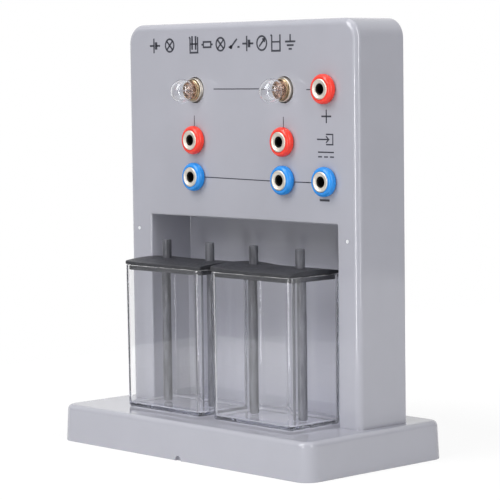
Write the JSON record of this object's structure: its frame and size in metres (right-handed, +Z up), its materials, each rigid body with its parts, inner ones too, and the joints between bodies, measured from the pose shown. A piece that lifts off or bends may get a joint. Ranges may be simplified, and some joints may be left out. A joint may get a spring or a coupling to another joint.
{
  "type": "conductivity tester",
  "caption": "Bench tester for solutions: an upright panel with screw lamps and plug sockets over a bay that holds clear tanks with electrode lids.",
  "frame": {"origin": "under the middle of the base, on the surface that it stands on", "axes": "+Z up, the panel faces -Y, +X to the right as seen from the front"},
  "size_m": [0.1644, 0.0856, 0.193],
  "materials": {
    "grey_case": "moulded, glossy grey",
    "screw_steel": "zinc plated",
    "clear_tank": "clear moulded plastic",
    "black_lid": "matt, almost black",
    "carbon_rod": "dull graphite grey",
    "lamp_glass": "clear",
    "brass": "bright brass",
    "lamp_wire_metal": "dull metal wire",
    "lamp_base_black": "black insulator with a solder tip",
    "nickel": "nickel plated",
    "board_brown": "brown laminate",
    "red_plastic": "glossy red",
    "blue_plastic": "glossy blue",
    "red_wire": "soft red insulation",
    "blue_wire": "soft blue insulation"
  },
  "bodies": {
    "stand": {"base": "grey_case", "base_screws": "screw_steel", "front_shell": "grey_case", "back_cover": "grey_case", "cover_screws": "screw_steel", "holder_left_sleeve": "nickel", "holder_left_board": "board_brown", "holder_left_contact": "brass", "holder_right_sleeve": "nickel", "holder_right_board": "board_brown", "holder_right_contact": "brass", "board_screws": "screw_steel", "plus_socket": "red_plastic", "minus_socket": "blue_plastic", "left_red_socket": "red_plastic", "left_blue_socket": "blue_plastic", "right_red_socket": "red_plastic", "right_blue_socket": "blue_plastic", "plus_socket_sleeve": "nickel", "minus_socket_sleeve": "nickel", "left_red_sleeve": "nickel", "left_blue_sleeve": "nickel", "right_red_sleeve": "nickel", "right_blue_sleeve": "nickel", "red_washers": "red_plastic", "blue_washers": "blue_plastic", "solder_tags": "nickel", "socket_nuts": "nickel", "plus_wire": "red_wire", "minus_wire": "blue_wire", "left_lamp_wire": "red_wire", "right_lamp_wire": "red_wire"},
    "left_tank": {"tank_left": "clear_tank"},
    "left_lid": {"lid_left": "black_lid"},
    "right_tank": {"tank_right": "clear_tank"},
    "right_lid": {"lid_right": "black_lid"},
    "rod_1": {"electrode_1": "carbon_rod"},
    "rod_2": {"electrode_2": "carbon_rod"},
    "rod_3": {"electrode_3": "carbon_rod"},
    "rod_4": {"electrode_4": "carbon_rod"},
    "left_lamp_travel": {"lamp_left_tip": "lamp_base_black"},
    "left_lamp": {"lamp_left_glass": "lamp_glass", "lamp_left_cap": "brass", "lamp_left_filament": "lamp_wire_metal"},
    "right_lamp_travel": {"lamp_right_tip": "lamp_base_black"},
    "right_lamp": {"lamp_right_glass": "lamp_glass", "lamp_right_cap": "brass", "lamp_right_filament": "lamp_wire_metal"}
  },
  "joints": [
    {"name": "left_tank_slide", "type": "slide", "parent": "stand", "child": "left_tank", "axis": [0, -1, 0], "range_m": [0, 0.012]},
    {"name": "left_lid_lift", "type": "slide", "parent": "left_tank", "child": "left_lid", "axis": [0, 0, 1], "range_m": [0, 0.015]},
    {"name": "right_tank_slide", "type": "slide", "parent": "stand", "child": "right_tank", "axis": [0, -1, 0], "range_m": [0, 0.012]},
    {"name": "right_lid_lift", "type": "slide", "parent": "right_tank", "child": "right_lid", "axis": [0, 0, 1], "range_m": [0, 0.015]},
    {"name": "electrode_1_lift", "type": "slide", "parent": "left_lid", "child": "rod_1", "axis": [0, 0, 1], "range_m": [0, 0.06]},
    {"name": "electrode_2_lift", "type": "slide", "parent": "left_lid", "child": "rod_2", "axis": [0, 0, 1], "range_m": [0, 0.06]},
    {"name": "electrode_3_lift", "type": "slide", "parent": "right_lid", "child": "rod_3", "axis": [0, 0, 1], "range_m": [0, 0.06]},
    {"name": "electrode_4_lift", "type": "slide", "parent": "right_lid", "child": "rod_4", "axis": [0, 0, 1], "range_m": [0, 0.06]},
    {"name": "left_lamp_travel_out", "type": "slide", "parent": "stand", "child": "left_lamp_travel", "axis": [0, -1, 0], "range_m": [0, 0.00543]},
    {"name": "left_lamp_unscrew", "type": "hinge", "parent": "left_lamp_travel", "child": "left_lamp", "pos_m": [-0.0278, -0.0041, 0.1626], "axis": [0, -1, 0], "range_deg": [0, 1080]},
    {"name": "right_lamp_travel_out", "type": "slide", "parent": "stand", "child": "right_lamp_travel", "axis": [0, -1, 0], "range_m": [0, 0.00543]},
    {"name": "right_lamp_unscrew", "type": "hinge", "parent": "right_lamp_travel", "child": "right_lamp", "pos_m": [0.0306, -0.0041, 0.1626], "axis": [0, -1, 0], "range_deg": [0, 1080]}
  ],
  "couplings": [
    {"joint": "left_lamp_unscrew", "follows": "left_lamp_travel_out", "rad_per_m": 3471.4},
    {"joint": "right_lamp_unscrew", "follows": "right_lamp_travel_out", "rad_per_m": 3471.4}
  ]
}
